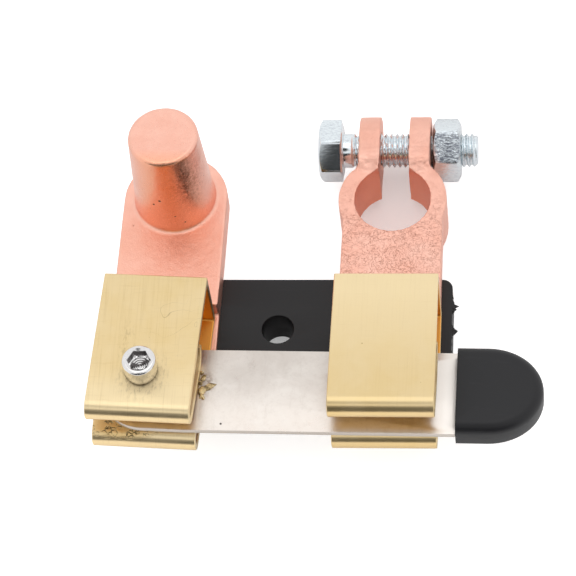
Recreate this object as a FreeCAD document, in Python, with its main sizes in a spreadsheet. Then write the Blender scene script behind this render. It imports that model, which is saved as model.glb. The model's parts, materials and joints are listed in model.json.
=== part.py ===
"""Knife-blade battery disconnect switch: two copper terminals and two folded brass jaws screwed
to an insulating plate, and a nickel-plated blade that swings out of one jaw about a screw in the
other.

Millimetres. The frame's origin is the centre of the plate's middle hole, on the underside that
the switch rests on. +X runs along the plate to the clamp terminal, +Y to the battery side and
+Z up.
"""
import FreeCAD, Part
import math
import os
import Sketcher
from FreeCAD import Rotation, Vector

SIZES = (
    ("plate_length", 79.0, "insulating plate, left to right"),
    ("plate_width", 26.5, "insulating plate, front to rear"),
    ("plate_thick", 9.4, "insulating plate, height"),
    ("plate_corner", 2.3, "radius of the plate's upright corners"),
    ("centre_hole", 7.3, "diameter of the plate's middle hole"),
    ("arm_thick", 6.0, "height of both terminals' arms above the plate"),
    ("tongue_thick", 1.8, "height of the thin tongue under each jaw"),
    ("tongue_reach", 15.0, "tongue, forward of the arm's step"),
    ("clamp_arm_x", 25.4, "middle of the clamp terminal's arm"),
    ("clamp_arm_width", 23.0, "width of the clamp terminal's arm"),
    ("ring_x", 25.2, "clamp ring's axis, left to right"),
    ("ring_y", 31.5, "clamp ring's axis, front to rear"),
    ("ring_bore", 17.3, "clamp ring's bore diameter"),
    ("ring_outer", 25.0, "clamp ring's outer diameter"),
    ("ring_height", 12.7, "clamp ring, down from the arm's top"),
    ("slit_width", 6.7, "gap between the clamp's two lugs"),
    ("lug_thick", 5.0, "thickness of each lug"),
    ("lug_radius", 7.9, "round end of each lug"),
    ("lug_y", 49.1, "clamp bolt's axis, front to rear"),
    ("post_x", -24.9, "post's axis, left to right"),
    ("post_y", 31.7, "post's axis, front to rear"),
    ("post_base", 18.7, "post's diameter at the arm"),
    ("post_top", 15.9, "post's diameter at its top"),
    ("post_rise", 25.2, "post's height above the arm"),
    ("post_foot", 0.4, "sloped foot round the post"),
    ("post_edge", 0.5, "chamfer round the post's top"),
    ("post_arm_width", 24.0, "width of the post terminal's arm"),
    ("post_arm_turn", 0.7, "degrees that the post arm's front leans to the left"),
    ("strip_thick", 1.5, "brass strip of both jaws"),
    ("jaw_width", 23.0, "brass strip, left to right"),
    ("jaw_height", 17.4, "jaw, over its two outer leaves at the rear"),
    ("jaw_bend", 2.0, "outer radius of the jaw's two rear bends"),
    ("nose_radius", 3.5, "outer radius of the folds at the jaw's front"),
    ("lip_flat", 11.5, "straight stretch of each inner leaf, behind the nose"),
    ("lip_curl", 5.0, "inner radius of each inner leaf's rear end"),
    ("lip_angle", 62.0, "degrees that each inner leaf's end turns off the blade"),
    ("contact_jaw_depth", 35.7, "contact jaw, rear wall to the front of its noses"),
    ("contact_jaw_splay", 5.8, "degrees that the contact jaw's upper leaf rises to the front"),
    ("hinge_jaw_depth", 35.3, "hinge jaw, rear wall to the front of its noses"),
    ("hinge_jaw_splay", 0.0, "degrees that the hinge jaw's upper leaf rises to the front"),
    ("contact_jaw_x", 25.5, "middle of the contact jaw"),
    ("contact_jaw_y", 3.1, "rear of the contact jaw"),
    ("hinge_jaw_x", -25.6, "middle of the hinge jaw's rear wall"),
    ("hinge_jaw_y", 2.5, "rear of the hinge jaw"),
    ("hinge_jaw_turn", 2.8, "degrees that the hinge jaw's front leans to the left"),
    ("seat_gap", 0.05, "gap between a jaw's rear wall and its arm's step"),
    ("blade_thick", 1.5, "blade"),
    ("blade_width", 19.9, "blade, front to rear"),
    ("blade_tang", 9.9, "blade, from the handle's inner edge to its end inside"),
    ("blade_turn", 0.7, "degrees that the closed blade's handle end leans forward"),
    ("blade_gap", 0.06, "gap between the blade and each inner leaf"),
    ("pivot_x", -26.9, "pivot, left to right"),
    ("pivot_y", -21.9, "pivot, front to rear"),
    ("handle_start", 67.9, "handle's inner edge, from the pivot"),
    ("handle_straight", 8.75, "handle's straight stretch before its round end"),
    ("handle_width", 21.2, "handle, front to rear"),
    ("handle_thick", 7.2, "handle, height"),
    ("handle_edge", 2.4, "fillet round the handle's upper face, but for its inner end"),
    ("handle_lower_edge", 0.8, "chamfer round the handle's lower face, but for its inner end"),
    ("screw_dia", 5.0, "pivot screw's shank"),
    ("screw_head", 7.5, "pivot screw's head diameter"),
    ("screw_head_rise", 4.6, "pivot screw's head height"),
    ("screw_socket", 4.6, "socket, across flats"),
    ("screw_socket_depth", 2.6, "socket's depth"),
    ("screw_end", 1.2, "screw's end below its nut"),
    ("screw_play", 0.08, "gap round the pivot screw"),
    ("washer_dia", 10.0, "washer under the hinge jaw"),
    ("washer_thick", 1.0, "washer under the hinge jaw"),
    ("nut_flats", 8.0, "pivot nut, across flats"),
    ("nut_rise", 4.0, "pivot nut, height"),
    ("bolt_dia", 8.0, "clamp bolt's shank"),
    ("bolt_hole", 8.6, "hole through both lugs"),
    ("bolt_flats", 13.0, "clamp bolt's head and nut, across flats"),
    ("bolt_head", 5.3, "clamp bolt's head thickness"),
    ("bolt_head_gap", 3.7, "head's face, out from the left lug"),
    ("bolt_head_turn", 17.0, "degrees that the head's flats are turned on the bolt's axis"),
    ("bolt_nut", 6.5, "clamp nut's thickness"),
    ("bolt_nut_turn", 2.0, "degrees that the nut's flats are turned on the bolt's axis"),
    ("bolt_nut_gap", 0.4, "nut's face, out from the right lug"),
    ("bolt_end", 3.9, "bolt's end beyond its nut"),
    ("nut_play", 0.05, "gap round the bolt in its nut"),
    ("hex_chamfer", 0.8, "chamfer on the corners of the hexagons"),
    ("fixing_dia", 5.0, "jaw screws' shank"),
    ("fixing_head", 9.2, "jaw screws' countersunk head"),
    ("fixing_head_rise", 2.5, "height of the jaw screws' head"),
    ("fixing_play", 0.1, "gap round the jaw screws"),
    ("fixing_end", 0.8, "jaw screws' end above their nuts"),
    ("fixing_back", 7.5, "jaw screws, forward of the jaw's rear"),
)

doc = FreeCAD.newDocument("BatterySwitch")
sheet = doc.addObject("Spreadsheet::Sheet", "Sizes")
for row, (alias, number, meaning) in enumerate(SIZES, 1):
    sheet.set("A%d" % row, meaning)
    sheet.set("B%d" % row, str(number))
    sheet.setAlias("B%d" % row, alias)
doc.recompute()


def size(alias):
    """The number that the sheet holds for one size."""
    return float(sheet.get(alias))


# heights above the plate's underside, and other places that several pieces share
ARM_TOP = "(Sizes.plate_thick + Sizes.arm_thick)"
JAW_FLOOR = "(Sizes.plate_thick + Sizes.tongue_thick)"
JAW_TOP = "(%s + Sizes.jaw_height)" % JAW_FLOOR
BLADE_MIDDLE = "(%s + Sizes.jaw_height / 2)" % JAW_FLOOR
RING_BOTTOM = "(%s - Sizes.ring_height)" % ARM_TOP
BOLT_HEIGHT = "(%s - Sizes.ring_height / 2)" % ARM_TOP
LEFT_LUG = "(Sizes.ring_x - Sizes.slit_width / 2 - Sizes.lug_thick)"
RIGHT_LUG = "(Sizes.ring_x + Sizes.slit_width / 2)"
NUT_FACE = "(%s + Sizes.lug_thick + Sizes.bolt_nut_gap)" % RIGHT_LUG
HEAD_FACE = "(%s - Sizes.bolt_head_gap)" % LEFT_LUG

ALONG_X = Rotation(Vector(0, 1, 0), 90)
UPRIGHT = Rotation()


def bind(thing, **sizes):
    """Tie properties to the sheet."""
    for name, formula in sizes.items():
        thing.setExpression(name, formula)
    return thing


def place(thing, x="0", y="0", z="0", turn=UPRIGHT):
    """Give a thing its rotation, and a position tied to the sheet."""
    thing.Placement.Rotation = turn
    for axis, formula in zip("xyz", (x, y, z)):
        thing.setExpression("Placement.Base.%s" % axis, formula)
    return thing


def cylinder(name, diameter, length, **where):
    rod = doc.addObject("Part::Cylinder", name)
    bind(rod, Radius="(%s) / 2" % diameter, Height=length)
    return place(rod, **where)


def block(name, width, depth, rise, **where):
    solid = doc.addObject("Part::Box", name)
    bind(solid, Length=width, Width=depth, Height=rise)
    return place(solid, **where)


def cone(name, lower, upper, rise, **where):
    solid = doc.addObject("Part::Cone", name)
    bind(solid, Radius1="(%s) / 2" % lower, Radius2="(%s) / 2" % upper, Height=rise)
    return place(solid, **where)


def hexagon(name, flats, rise, **where):
    prism = doc.addObject("Part::Prism", name)
    prism.Polygon = 6
    bind(prism, Circumradius="(%s) / 2 / cos(30 deg)" % flats, Height=rise)
    return place(prism, **where)


def fused(name, pieces):
    whole = doc.addObject("Part::MultiFuse", name)
    whole.Shapes = pieces
    whole.Refine = True
    return whole


def cut(name, base, tools):
    """One solid less one or more others."""
    tool = tools[0] if len(tools) == 1 else fused(name + "_cuts", tools)
    result = doc.addObject("Part::Cut", name)
    result.Base = base
    result.Tool = tool
    return result


def chamfered(name, base, width, wanted):
    """Chamfer the edges of a base that a test picks."""
    doc.recompute()
    picked = [(number, width, width)
              for number, edge in enumerate(base.Shape.Edges, 1) if wanted(edge)]
    result = doc.addObject("Part::Chamfer", name)
    result.Base = base
    result.Edges = picked
    return result


def level_at(height):
    """A test for edges that lie flat at one height."""
    def wanted(edge):
        box = edge.BoundBox
        return abs(box.ZMin - height) < 1e-6 and abs(box.ZMax - height) < 1e-6
    return wanted


def outer_edges(thing, height):
    """The names of a paddle's edges at one height, but for its inner end."""
    wanted = level_at(height)
    return ["Edge%d" % number for number, edge in enumerate(thing.Shape.Edges, 1)
            if wanted(edge) and edge.BoundBox.XMax > 1e-6]


def upright(edge):
    """A test for straight upright edges."""
    box = edge.BoundBox
    return box.XLength < 1e-6 and box.YLength < 1e-6


def plane_of(body, role):
    """One of a body's own origin planes."""
    return [plane for plane in body.Origin.OriginFeatures if plane.Role == role][0]


def sketch_on(body, name, role):
    """An empty sketch on one of a body's own origin planes."""
    sketch = body.newObject("Sketcher::SketchObject", name)
    sketch.AttachmentSupport = (plane_of(body, role), [""])
    sketch.MapMode = "FlatFace"
    return sketch


def fix(sketch, kind, *what, formula=None):
    """Add a constraint, and tie its size to the sheet where it has one."""
    number = sketch.addConstraint(Sketcher.Constraint(kind, *what))
    if formula:
        sketch.setExpression("Constraints[%d]" % number, formula)
    return number


def rectangle(sketch, width, depth):
    """A rectangle about the sketch's origin."""
    x, y = size(width) / 2, size(depth) / 2
    corners = [Vector(-x, -y, 0), Vector(x, -y, 0), Vector(x, y, 0), Vector(-x, y, 0)]
    for number in range(4):
        sketch.addGeometry(Part.LineSegment(corners[number], corners[(number + 1) % 4]), False)
    for number in range(4):
        fix(sketch, "Coincident", number, 2, (number + 1) % 4, 1)
    for number, kind in enumerate(("Horizontal", "Vertical", "Horizontal", "Vertical")):
        fix(sketch, kind, number)
    fix(sketch, "Symmetric", 0, 1, 2, 1, -1, 1)
    fix(sketch, "DistanceX", 0, 1, 0, 2, 2 * x, formula="Sizes.%s" % width)
    fix(sketch, "DistanceY", 1, 1, 1, 2, 2 * y, formula="Sizes.%s" % depth)


def paddle(sketch, straight, radius, straight_formula, radius_formula):
    """A strip along +X from the sketch's Y axis that ends in a half round."""
    low, high = Vector(0, -radius, 0), Vector(0, radius, 0)
    far_low, far_high = Vector(straight, -radius, 0), Vector(straight, radius, 0)
    circle = Part.Circle(Vector(straight, 0, 0), Vector(0, 0, 1), radius)
    sketch.addGeometry(Part.LineSegment(high, low), False)
    sketch.addGeometry(Part.LineSegment(low, far_low), False)
    sketch.addGeometry(Part.ArcOfCircle(circle, -math.pi / 2, math.pi / 2), False)
    sketch.addGeometry(Part.LineSegment(far_high, high), False)
    fix(sketch, "Coincident", 0, 2, 1, 1)
    fix(sketch, "Tangent", 1, 2, 2, 1)
    fix(sketch, "Tangent", 2, 2, 3, 1)
    fix(sketch, "Coincident", 3, 2, 0, 1)
    fix(sketch, "Vertical", 0)
    fix(sketch, "Horizontal", 1)
    fix(sketch, "Symmetric", 0, 1, 0, 2, -1, 1)
    fix(sketch, "DistanceX", 1, 1, 1, 2, straight, formula=straight_formula)
    fix(sketch, "Radius", 2, radius, formula=radius_formula)


def padded(body, sketch, length, symmetric=False):
    """Raise a sketch into a solid."""
    pad = body.newObject("PartDesign::Pad", sketch.Name + "_pad")
    pad.Profile = sketch
    if symmetric:
        pad.SideType = "Symmetric"
    pad.setExpression("Length", length)
    sketch.Visibility = False
    return pad


def on_jaw(side, across, back):
    """Where a point of a jaw's own frame lies: formulas for X and Y."""
    if side == "contact":
        return ("Sizes.contact_jaw_x + (%s)" % across, "Sizes.contact_jaw_y - (%s)" % back)
    turn = "(Sizes.hinge_jaw_turn * 1 deg)"
    x = "Sizes.hinge_jaw_x + (%s) * cos(%s) - (%s) * sin(%s)" % (across, turn, back, turn)
    y = "Sizes.hinge_jaw_y - (%s) * sin(%s) - (%s) * cos(%s)" % (across, turn, back, turn)
    return (x, y)


SIDES = ("hinge", "contact")


def fixing_spot(side):
    """Where one jaw's screw stands: formulas for X and Y."""
    x, y = on_jaw(side, "0", "Sizes.fixing_back")
    return {"x": x, "y": y}


def fixing_hole(name, side, low, rise):
    """A hole for one jaw's screw, a little wider than its shank."""
    bore = "(Sizes.fixing_dia + 2 * Sizes.fixing_play)"
    return cylinder("%s_%s_hole" % (name, side), bore, rise, z=low, **fixing_spot(side))


def base_plate():
    """The moulded insulating plate with its middle hole and two countersunk screw holes."""
    body = doc.addObject("PartDesign::Body", "plate_blank")
    sketch = sketch_on(body, "plate_outline", "XY_Plane")
    rectangle(sketch, "plate_length", "plate_width")
    pad = padded(body, sketch, "Sizes.plate_thick")
    doc.recompute()
    corners = body.newObject("PartDesign::Fillet", "plate_corners")
    edges = ["Edge%d" % number for number, edge in enumerate(pad.Shape.Edges, 1) if upright(edge)]
    corners.Base = (pad, edges)
    corners.setExpression("Radius", "Sizes.plate_corner")
    tools = [cylinder("middle_hole", "Sizes.centre_hole", "Sizes.plate_thick")]
    for side in SIDES:
        tools.append(fixing_hole("plate", side, "0", "Sizes.plate_thick"))
        tools.append(cone("plate_%s_sink" % side, "Sizes.fixing_head + 2 * Sizes.fixing_play",
                          "Sizes.fixing_dia + 2 * Sizes.fixing_play", "Sizes.fixing_head_rise",
                          **fixing_spot(side)))
    return cut("base_plate", body, tools)


def clamp_terminal():
    """The cast battery clamp: ring, two lugs, arm and tongue."""
    step = "(Sizes.contact_jaw_y + Sizes.seat_gap)"
    left = "(Sizes.clamp_arm_x - Sizes.clamp_arm_width / 2)"
    arm = block("clamp_arm", "Sizes.clamp_arm_width", "Sizes.ring_y - %s" % step,
                "Sizes.arm_thick", x=left, y=step, z="Sizes.plate_thick")
    thin = block("clamp_tongue", "Sizes.clamp_arm_width", "Sizes.tongue_reach + 1",
                 "Sizes.tongue_thick", x=left, y="%s - Sizes.tongue_reach" % step,
                 z="Sizes.plate_thick")
    ring = cylinder("clamp_ring", "Sizes.ring_outer", "Sizes.ring_height",
                    x="Sizes.ring_x", y="Sizes.ring_y", z=RING_BOTTOM)
    span = "(Sizes.slit_width + 2 * Sizes.lug_thick)"
    neck = block("clamp_neck", span, "Sizes.lug_y - Sizes.ring_y", "Sizes.ring_height",
                 x=LEFT_LUG, y="Sizes.ring_y", z=RING_BOTTOM)
    lugs = cylinder("clamp_lugs", "2 * Sizes.lug_radius", span,
                    x=LEFT_LUG, y="Sizes.lug_y", z=BOLT_HEIGHT, turn=ALONG_X)
    bore = cylinder("clamp_bore", "Sizes.ring_bore", "Sizes.ring_height",
                    x="Sizes.ring_x", y="Sizes.ring_y", z=RING_BOTTOM)
    slit = block("clamp_slit", "Sizes.slit_width", "2 * Sizes.ring_outer", "3 * Sizes.ring_height",
                 x="Sizes.ring_x - Sizes.slit_width / 2", y="Sizes.ring_y",
                 z="%s - Sizes.ring_height" % RING_BOTTOM)
    hole = cylinder("clamp_bolt_hole", "Sizes.bolt_hole", span,
                    x=LEFT_LUG, y="Sizes.lug_y", z=BOLT_HEIGHT, turn=ALONG_X)
    blank = fused("clamp_blank", [arm, thin, ring, neck, lugs])
    through = fixing_hole("clamp", "contact", "Sizes.plate_thick", "Sizes.tongue_thick")
    return cut("clamp_terminal", blank, [bore, slit, hole, through])


def post_terminal():
    """The cast battery post on its arm, with its tongue."""
    turn = Rotation(Vector(0, 0, 1), -size("post_arm_turn"))
    angle = "(Sizes.post_arm_turn * 1 deg)"
    lean = "(Sizes.hinge_jaw_turn * 1 deg)"
    step = "(Sizes.hinge_jaw_y + Sizes.seat_gap + Sizes.jaw_width / 2 * sin(%s - %s))" % (lean, angle)
    length = "(Sizes.post_y - %s)" % step
    half = "(Sizes.post_arm_width / 2)"

    def corner(across, forward):
        x = "Sizes.post_x + (%s) * cos(%s) - (%s) * sin(%s)" % (across, angle, forward, angle)
        y = "Sizes.post_y - (%s) * sin(%s) - (%s) * cos(%s)" % (across, angle, forward, angle)
        return {"x": x, "y": y}

    arm = block("post_arm", "Sizes.post_arm_width", length, "Sizes.arm_thick",
                z="Sizes.plate_thick", turn=turn, **corner("-%s" % half, length))
    reach = "(%s + Sizes.tongue_reach)" % length
    thin = block("post_tongue", "Sizes.post_arm_width", reach, "Sizes.tongue_thick",
                 z="Sizes.plate_thick", turn=turn, **corner("-%s" % half, reach))
    end = cylinder("post_arm_end", "Sizes.post_arm_width", "Sizes.arm_thick",
                   x="Sizes.post_x", y="Sizes.post_y", z="Sizes.plate_thick")
    post = cone("post_cone", "Sizes.post_base", "Sizes.post_top", "Sizes.post_rise",
                x="Sizes.post_x", y="Sizes.post_y", z=ARM_TOP)
    blank = fused("post_blank", [arm, thin, end, post])
    foot = size("plate_thick") + size("arm_thick")
    foot_radius = size("post_base") / 2

    def foot_edge(edge):
        curve = edge.Curve
        round_edge = level_at(foot)(edge) and hasattr(curve, "Radius")
        return round_edge and abs(curve.Radius - foot_radius) < 1e-6

    ledge = (size("post_arm_width") - size("post_base")) / 2
    skirt = chamfered("post_skirt", blank, min(size("post_foot"), 0.8 * ledge), foot_edge)
    crown = chamfered("post_crown", skirt, size("post_edge"), level_at(foot + size("post_rise")))
    through = fixing_hole("post", "hinge", "Sizes.plate_thick", "Sizes.tongue_thick")
    return cut("post_terminal", crown, [through])


def strip_face(moves, thickness, start, heading):
    """The section of a bent strip. Each move is a straight length, or a bend to the left as
    the centre line's radius and an angle in degrees. The strip starts at a point and with a
    heading in degrees. The result is its face and the centre line's corner points."""
    point, angle = Vector(start), math.radians(heading)
    left, right, corners = [], [], [Vector(start)]
    half = thickness / 2

    def beside(place, toward, offset):
        return place + Vector(-math.sin(toward), math.cos(toward), 0) * offset

    first = Part.LineSegment(beside(point, angle, -half), beside(point, angle, half)).toShape()
    for length, bend in moves:
        here, before = Vector(point), angle
        if bend:
            centre = beside(here, before, length)
            middle, angle = before + math.radians(bend) / 2, before + math.radians(bend)
            point = beside(centre, angle, -length)
            for edges, offset in ((left, half), (right, -half)):
                edges.append(Part.Arc(beside(here, before, offset),
                                      beside(centre, middle, offset - length),
                                      beside(point, angle, offset)).toShape())
        else:
            point = here + Vector(math.cos(before), math.sin(before), 0) * length
            for edges, offset in ((left, half), (right, -half)):
                edges.append(Part.LineSegment(beside(here, before, offset),
                                              beside(point, angle, offset)).toShape())
        corners.append(Vector(point))
    last = Part.LineSegment(beside(point, angle, half), beside(point, angle, -half)).toShape()
    wire = Part.Wire(Part.__sortEdges__([first] + left + [last] + right))
    return Part.Face(wire), corners


def lip_moves(middle, depth, splay):
    """Half of a jaw, from the blade outwards and to the rear: the curled end, the inner leaf,
    the nose, the outer leaf and the rear bend. The leaf lies at the jaw's rear at a height
    above the blade's middle, and rises by the splay's angle to the front."""
    thick = size("strip_thick")
    rise, run = math.sin(math.radians(splay)), math.cos(math.radians(splay))
    bend, nose = size("jaw_bend") - thick / 2, size("nose_radius") - thick / 2
    curl, flat = size("lip_curl") + thick / 2, size("lip_flat")
    leaf = (depth - size("nose_radius") - thick / 2 - bend + (bend - nose) * rise) / run
    # heights of the centre line above the blade's middle: the nose's centre, and the leaf's
    # lowest point, which clears the blade by the gap
    centre = middle - size("jaw_bend") + bend * run + leaf * rise - nose * run
    lowest = size("blade_thick") / 2 + size("blade_gap") + thick / 2
    slope = math.degrees(math.acos((lowest + curl - centre) / math.hypot(curl - nose, flat))
                         - math.atan2(flat, curl - nose))
    return [(curl, size("lip_angle") + slope), (flat, 0), (nose, 180 + splay - slope),
            (leaf, 0), (bend, 90 - splay)]


def jaw(name, side, turn):
    """One jaw: a brass strip bent to a tall C, both ends folded back inwards as spring leaves
    that hold the blade and curl away from it at the rear."""
    thick, bend, half = size("strip_thick"), size("jaw_bend"), size("jaw_height") / 2
    depth, splay = size(side + "_jaw_depth"), size(side + "_jaw_splay")
    lower = lip_moves(half, depth, 0)
    upper = lip_moves(half, depth, splay)[::-1]
    moves = lower + [(2 * (half - bend), 0)] + upper
    # the strip's rear wall heads straight up, with its outer face on the section's Y axis
    heading = 90 - sum(turned for length, turned in lower)
    corners = strip_face(moves, thick, Vector(0, 0, 0), heading)[1]
    start = Vector(-thick / 2, bend, 0) - corners[len(lower)]
    section = strip_face(moves, thick, start, heading)[0]
    profile = doc.addObject("Part::Feature", name + "_section")
    profile.Shape = section
    profile.Placement = FreeCAD.Placement(Vector(0, 0, 0), Rotation(Vector(1, 1, 1), 120))
    bar = doc.addObject("Part::Extrusion", name + "_strip")
    bar.Base = profile
    bar.DirMode = "Custom"
    bar.Dir = Vector(1, 0, 0)
    bar.Solid = True
    bar.Symmetric = True
    bar.setExpression("LengthFwd", "Sizes.jaw_width")
    x, y = on_jaw(side, "0", "0")
    place(bar, x=x, y=y, z=JAW_FLOOR, turn=turn)
    tools = [fixing_hole(name, side, JAW_FLOOR, "Sizes.strip_thick")]
    if side == "hinge":
        tools.append(cylinder("hinge_jaw_bore", "Sizes.screw_dia + 2 * Sizes.screw_play",
                              "2 * Sizes.jaw_height", x="Sizes.pivot_x", y="Sizes.pivot_y",
                              z=JAW_FLOOR))
    return cut(name, bar, tools)


def blade_turn():
    """The closed blade's turn about the pivot."""
    return Rotation(Vector(0, 0, 1), -size("blade_turn"))


def switch_blade():
    """The flat blade: round about the pivot, square inside the handle."""
    body = doc.addObject("PartDesign::Body", "blade_blank")
    sketch = sketch_on(body, "blade_outline", "XY_Plane")
    reach = "(Sizes.handle_start + Sizes.blade_tang)"
    paddle(sketch, size("handle_start") + size("blade_tang"), size("blade_width") / 2,
           reach, "Sizes.blade_width / 2")
    padded(body, sketch, "Sizes.blade_thick", symmetric=True)
    # the sketch runs from the blade's square end to the pivot, so it is placed half a turn round
    half_turn = Rotation(Vector(0, 0, 1), 180)
    angle = "(Sizes.blade_turn * 1 deg)"
    place(body, x="Sizes.pivot_x + %s * cos(%s)" % (reach, angle),
          y="Sizes.pivot_y - %s * sin(%s)" % (reach, angle), z=BLADE_MIDDLE,
          turn=blade_turn().multiply(half_turn))
    hole = cylinder("blade_bore", "Sizes.screw_dia + 2 * Sizes.screw_play", "2 * Sizes.blade_thick",
                    x="Sizes.pivot_x", y="Sizes.pivot_y",
                    z="%s - Sizes.blade_thick" % BLADE_MIDDLE)
    return cut("switch_blade", body, [hole])


def handle_grip(blade):
    """The moulded handle round the blade's square end."""
    body = doc.addObject("PartDesign::Body", "handle_blank")
    sketch = sketch_on(body, "handle_outline", "XY_Plane")
    paddle(sketch, size("handle_straight"), size("handle_width") / 2,
           "Sizes.handle_straight", "Sizes.handle_width / 2")
    pad = padded(body, sketch, "Sizes.handle_thick", symmetric=True)
    doc.recompute()
    soft = body.newObject("PartDesign::Fillet", "handle_edges")
    soft.Base = (pad, outer_edges(pad, size("handle_thick") / 2))
    soft.setExpression("Radius", "Sizes.handle_edge")
    doc.recompute()
    lower = body.newObject("PartDesign::Chamfer", "handle_lower_edges")
    lower.Base = (soft, outer_edges(soft, -size("handle_thick") / 2))
    lower.setExpression("Size", "Sizes.handle_lower_edge")
    angle = "(Sizes.blade_turn * 1 deg)"
    place(body, x="Sizes.pivot_x + Sizes.handle_start * cos(%s)" % angle,
          y="Sizes.pivot_y - Sizes.handle_start * sin(%s)" % angle, z=BLADE_MIDDLE,
          turn=blade_turn())
    return cut("handle_grip", body, [blade])


def hex_piece(name, flats, rise, both_ends, **where):
    """A hexagon whose corners are turned off at its upper end, or at both."""
    shape = hexagon(name + "_prism", flats, rise, **where)
    blank = cylinder(name + "_round", "(%s) / cos(30 deg)" % flats, rise)
    doc.recompute()
    top = blank.Height.Value

    def ends(edge):
        return level_at(top)(edge) or (both_ends and level_at(0.0)(edge))

    turned = chamfered(name + "_turned", blank, size("hex_chamfer"), ends)
    place(turned, **where)
    result = doc.addObject("Part::MultiCommon", name)
    result.Shapes = [shape, turned]
    return result


def pivot_screw():
    """The socket screw that the blade swings on."""
    spot = {"x": "Sizes.pivot_x", "y": "Sizes.pivot_y"}
    below = "(Sizes.washer_thick + Sizes.nut_rise + Sizes.screw_end)"
    shank = cylinder("screw_shank", "Sizes.screw_dia", "Sizes.jaw_height + %s" % below,
                     z="%s - %s" % (JAW_FLOOR, below), **spot)
    head = cylinder("screw_head_blank", "Sizes.screw_head", "Sizes.screw_head_rise",
                    z=JAW_TOP, **spot)
    top = "%s + Sizes.screw_head_rise" % JAW_TOP
    socket = hexagon("screw_socket_cut", "Sizes.screw_socket", "Sizes.screw_socket_depth",
                     z="%s - Sizes.screw_socket_depth" % top, **spot)
    return cut("hinge_screw", fused("screw_blank", [shank, head]), [socket])


def pivot_washer_and_nut():
    """The washer and nut that hold the screw, under the hinge jaw."""
    spot = {"x": "Sizes.pivot_x", "y": "Sizes.pivot_y"}
    bore = "Sizes.screw_dia + 2 * Sizes.screw_play"
    under = "%s - Sizes.washer_thick" % JAW_FLOOR
    disc = cylinder("washer_disc", "Sizes.washer_dia", "Sizes.washer_thick", z=under, **spot)
    hole = cylinder("washer_bore", bore, "Sizes.washer_thick", z=under, **spot)
    cut("hinge_washer", disc, [hole])
    low = "%s - Sizes.nut_rise" % under
    blank = hexagon("hinge_nut_blank", "Sizes.nut_flats", "Sizes.nut_rise", z=low, **spot)
    thread = cylinder("hinge_nut_bore", bore, "Sizes.nut_rise", z=low, **spot)
    cut("hinge_nut", blank, [thread])


def clamp_fasteners():
    """The clamp's bolt and nut."""
    line = {"y": "Sizes.lug_y", "z": BOLT_HEIGHT}
    head_turn = Rotation(Vector(0, 0, 1), -size("bolt_head_turn"))
    nut_turn = Rotation(Vector(0, 0, 1), -size("bolt_nut_turn"))
    head = hex_piece("bolt_head_blank", "Sizes.bolt_flats", "Sizes.bolt_head", False,
                     x=HEAD_FACE, turn=Rotation(Vector(0, 1, 0), -90).multiply(head_turn), **line)
    end = "%s + Sizes.bolt_nut + Sizes.bolt_end" % NUT_FACE
    shank = cylinder("bolt_shank_blank", "Sizes.bolt_dia", "%s - %s" % (end, HEAD_FACE),
                     x=HEAD_FACE, turn=ALONG_X, **line)
    fused("clamp_bolt", [head, shank])
    nut = hex_piece("clamp_nut_blank", "Sizes.bolt_flats", "Sizes.bolt_nut", True,
                    x=NUT_FACE, turn=ALONG_X.multiply(nut_turn), **line)
    bore = cylinder("clamp_nut_bore", "Sizes.bolt_dia + 2 * Sizes.nut_play", "Sizes.bolt_nut",
                    x=NUT_FACE, turn=ALONG_X, **line)
    cut("clamp_nut", nut, [bore])


def jaw_fixings():
    """The countersunk screw and nut that hold each jaw and its terminal to the plate."""
    stack = "(%s + Sizes.strip_thick)" % JAW_FLOOR
    for side in SIDES:
        spot = fixing_spot(side)
        name = side + "_jaw_screw"
        shank = cylinder(name + "_shank", "Sizes.fixing_dia",
                         "%s + Sizes.nut_rise + Sizes.fixing_end" % stack, **spot)
        head = cone(name + "_head", "Sizes.fixing_head", "Sizes.fixing_dia",
                    "Sizes.fixing_head_rise", **spot)
        fused(name, [shank, head])
        name = side + "_jaw_nut"
        blank = hexagon(name + "_blank", "Sizes.nut_flats", "Sizes.nut_rise", z=stack, **spot)
        bore = cylinder(name + "_bore", "Sizes.fixing_dia + 2 * Sizes.fixing_play",
                        "Sizes.nut_rise", z=stack, **spot)
        cut(name, blank, [bore])


NODES = ("base_plate", "post_terminal", "clamp_terminal", "hinge_jaw", "contact_jaw",
         "switch_blade", "handle_grip", "hinge_screw", "hinge_washer", "hinge_nut",
         "hinge_jaw_screw", "hinge_jaw_nut", "contact_jaw_screw", "contact_jaw_nut",
         "clamp_bolt", "clamp_nut")


def main():
    base_plate()
    post_terminal()
    clamp_terminal()
    jaw("hinge_jaw", "hinge", Rotation(Vector(0, 0, 1), -size("hinge_jaw_turn")))
    jaw("contact_jaw", "contact", UPRIGHT)
    handle_grip(switch_blade())
    pivot_screw()
    pivot_washer_and_nut()
    clamp_fasteners()
    jaw_fixings()
    doc.recompute()
    for thing in doc.Objects:
        if "Invalid" in thing.State or "Error" in thing.State:
            raise RuntimeError("%s failed: %s" % (thing.Name, thing.State))
    os.makedirs("parts", exist_ok=True)
    for name in NODES:
        shape = doc.getObject(name).Shape
        if shape.isNull() or not shape.isValid() or len(shape.Solids) != 1:
            raise RuntimeError("%s is not one valid solid" % name)
        shape.exportStep("parts/%s.step" % name)
        print("%-16s %9.1f mm3" % (name, shape.Volume), shape.BoundBox)


main()
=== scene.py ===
"""Looks of the knife-blade battery disconnect switch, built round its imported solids.

The frame of the solids: +X along the plate to the clamp, +Y to the battery terminals, +Z up, and
the origin under the plate's middle hole. Sizes and places are millimetres, turned to metres by MM
where they are used, unless a comment says otherwise. Angles are degrees.
"""

import json
import math
import random

import bmesh
import bpy
from mathutils import Matrix, Vector, noise


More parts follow.
